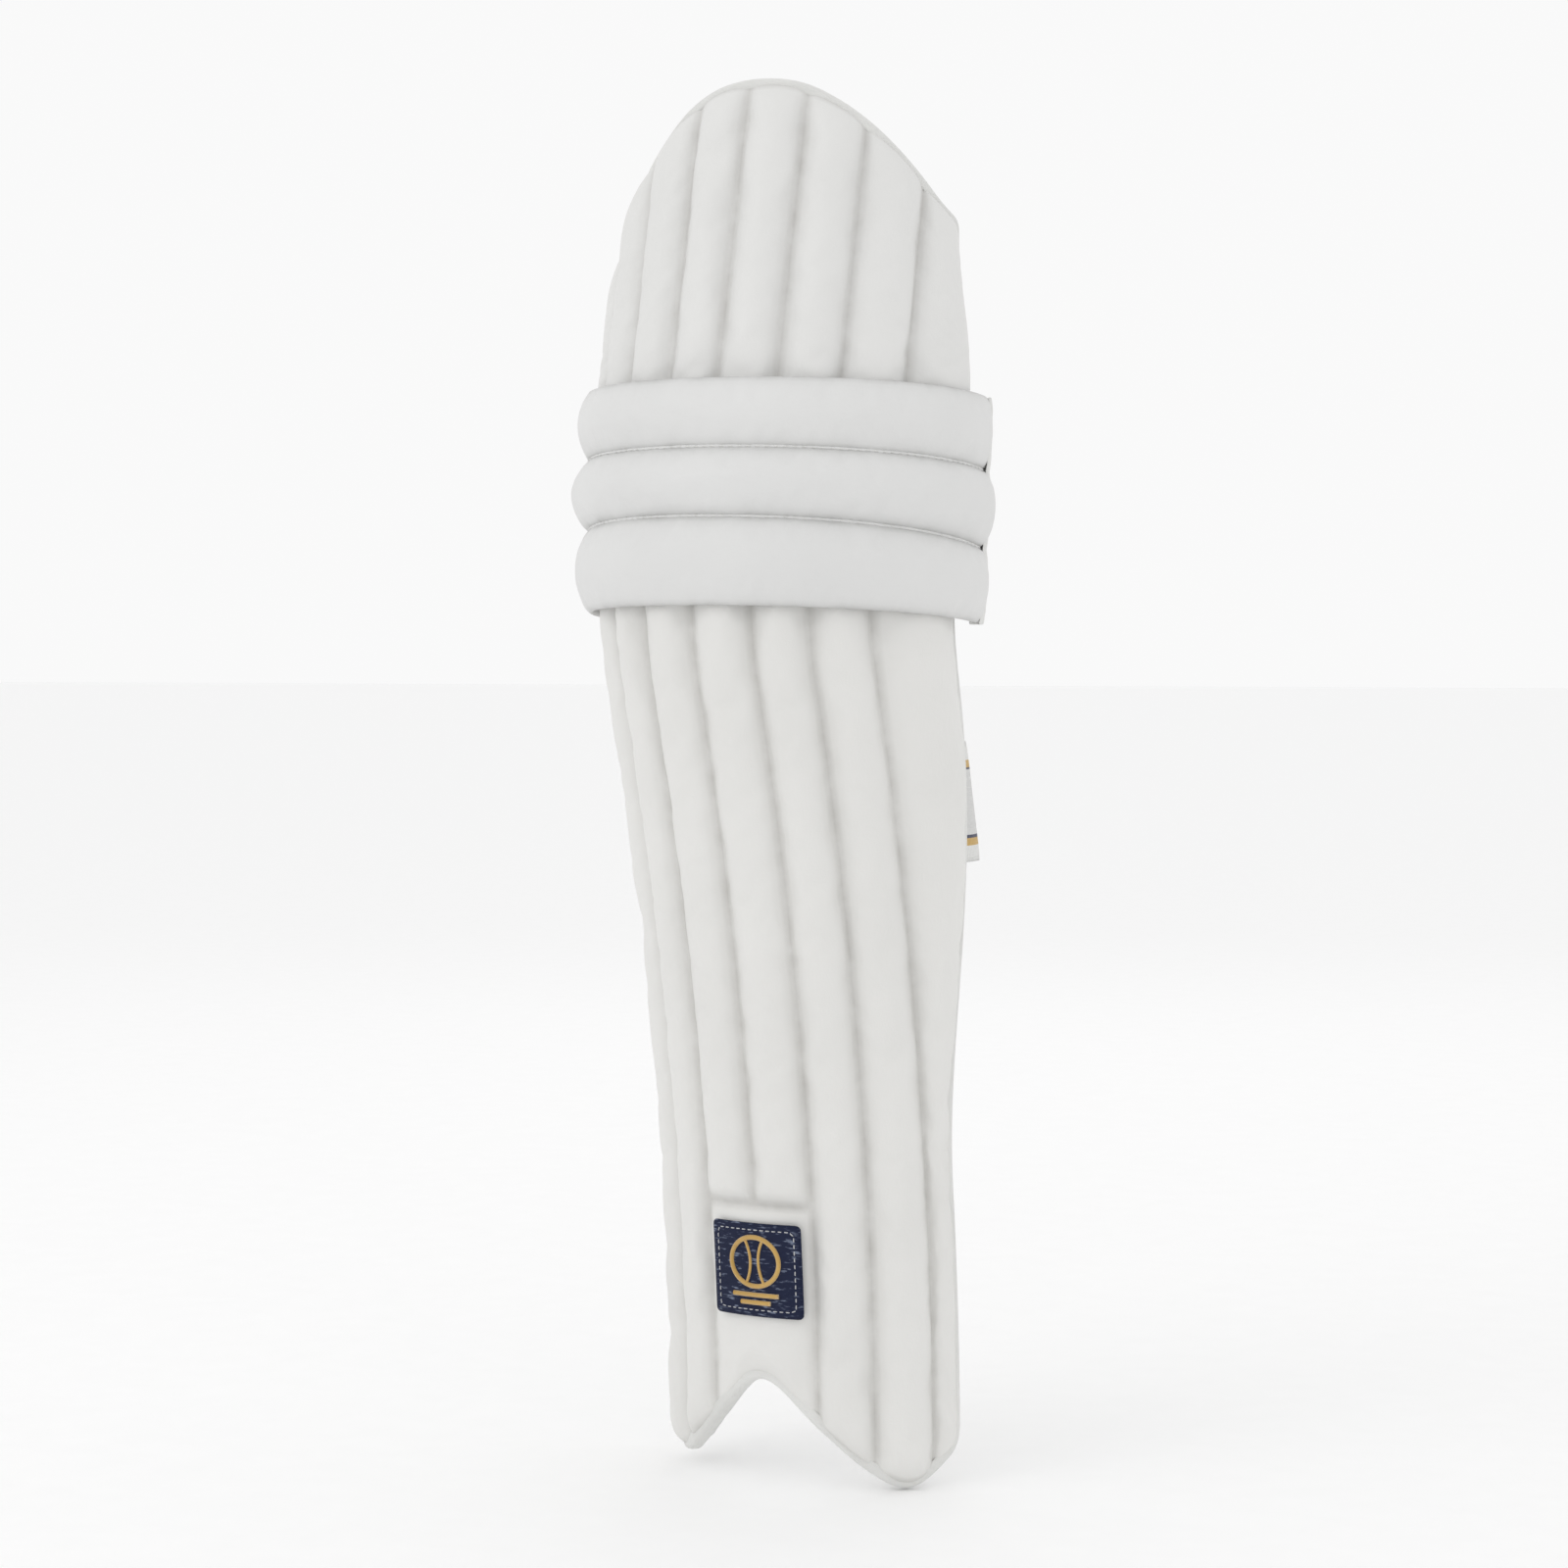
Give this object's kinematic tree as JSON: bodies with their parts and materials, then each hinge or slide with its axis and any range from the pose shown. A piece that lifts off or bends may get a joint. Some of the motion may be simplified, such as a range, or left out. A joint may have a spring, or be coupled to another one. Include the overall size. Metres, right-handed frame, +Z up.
{
  "type": "cricket leg pad",
  "caption": "White padded leg guard for batting: ribbed shin and top flap, rolled knee block, buckled calf and knee straps.",
  "frame": {"origin": "on the axis of the leg space, level with the middle of the knee rolls", "axes": "front of the pad faces -Y, +X is the wearer's inner side, +Z runs up the leg"},
  "size_m": [0.231, 0.2305, 0.742],
  "materials": {
    "pu_skin": "matte white synthetic leather",
    "lining_cloth": "white padded cloth",
    "padding": "soft foam and wadding",
    "binding_tape": "woven tape",
    "cane": "natural cane",
    "badge_patch": "woven navy patch with a gold emblem",
    "webbing": "elastic webbing with gold and navy stripes",
    "hook_and_loop": "hook and loop fastener",
    "ring_plastic": "moulded plastic"
  },
  "bodies": {
    "shin": {"shin_lining": "lining_cloth", "shin_base_foam": "padding", "shin_channel_1": "padding", "shin_channel_2": "padding", "shin_channel_3": "padding", "shin_channel_4": "padding", "shin_channel_5": "padding", "shin_channel_6": "padding", "shin_channel_7": "padding", "shin_channel_8": "padding", "shin_canes": "cane", "shin_cover": "pu_skin", "instep_cover": "pu_skin", "instep_pad": "padding", "shin_binding": "binding_tape", "bolster_outer": "lining_cloth", "bolster_inner": "lining_cloth", "badge": "badge_patch", "gusset_lower": "lining_cloth", "calf_band": "webbing", "calf_tab": "webbing", "calf_loop": "hook_and_loop"},
    "knee_block": {"knee_roll_core_1": "padding", "knee_roll_core_2": "padding", "knee_roll_core_3": "padding", "knee_roll_cover_1": "pu_skin", "knee_roll_cover_2": "pu_skin", "knee_roll_cover_3": "pu_skin", "knee_backing": "lining_cloth", "knee_base_foam": "padding", "knee_cup": "lining_cloth", "knee_binding_outer": "binding_tape", "knee_binding_inner": "binding_tape", "gusset_upper": "lining_cloth", "knee_band": "webbing", "knee_tab": "webbing", "knee_loop": "hook_and_loop"},
    "top_flap": {"flap_lining": "lining_cloth", "flap_base_foam": "padding", "flap_channel_1": "padding", "flap_channel_2": "padding", "flap_channel_3": "padding", "flap_channel_4": "padding", "flap_channel_5": "padding", "flap_channel_6": "padding", "flap_channel_7": "padding", "flap_channel_8": "padding", "flap_channel_9": "padding", "flap_canes": "cane", "flap_cover": "pu_skin", "flap_binding": "binding_tape"},
    "calf_tail": {"calf_tail": "webbing", "calf_hook": "hook_and_loop"},
    "calf_ring": {"calf_ring": "ring_plastic"},
    "knee_tail": {"knee_tail": "webbing", "knee_hook": "hook_and_loop"},
    "knee_ring": {"knee_ring": "ring_plastic"}
  },
  "joints": [
    {"name": "knee_lower_flex", "type": "hinge", "parent": "shin", "child": "knee_block", "pos_m": [0, 0.01, -0.045], "axis": [-1, 0, 0], "range_deg": [0, 10], "deforming": ["gusset_lower"]},
    {"name": "knee_upper_flex", "type": "hinge", "parent": "knee_block", "child": "top_flap", "pos_m": [0, 0.01, 0.038], "axis": [-1, 0, 0], "range_deg": [0, 10], "deforming": ["gusset_upper"]},
    {"name": "calf_tail_peel", "type": "hinge", "parent": "shin", "child": "calf_tail", "pos_m": [-0.0786, 0.05755, -0.163], "axis": [0, -0.2349, 0.972], "range_deg": [0, 120]},
    {"name": "calf_ring_swing", "type": "hinge", "parent": "shin", "child": "calf_ring", "pos_m": [-0.08081, 0.03562, -0.163], "axis": [0, -0.2349, 0.972], "range_deg": [-2.5, 2.5]},
    {"name": "knee_tail_peel", "type": "hinge", "parent": "knee_block", "child": "knee_tail", "pos_m": [-0.09491, 0.03118, -0.008], "axis": [0, 0, 1], "range_deg": [0, 120]},
    {"name": "knee_ring_swing", "type": "hinge", "parent": "knee_block", "child": "knee_ring", "pos_m": [-0.09536, 0.00919, -0.008], "axis": [0, 0, 1], "range_deg": [-2.5, 2.5]}
  ],
  "couplings": [
    {"joint": "knee_upper_flex", "follows": "knee_lower_flex", "ratio": 1}
  ]
}
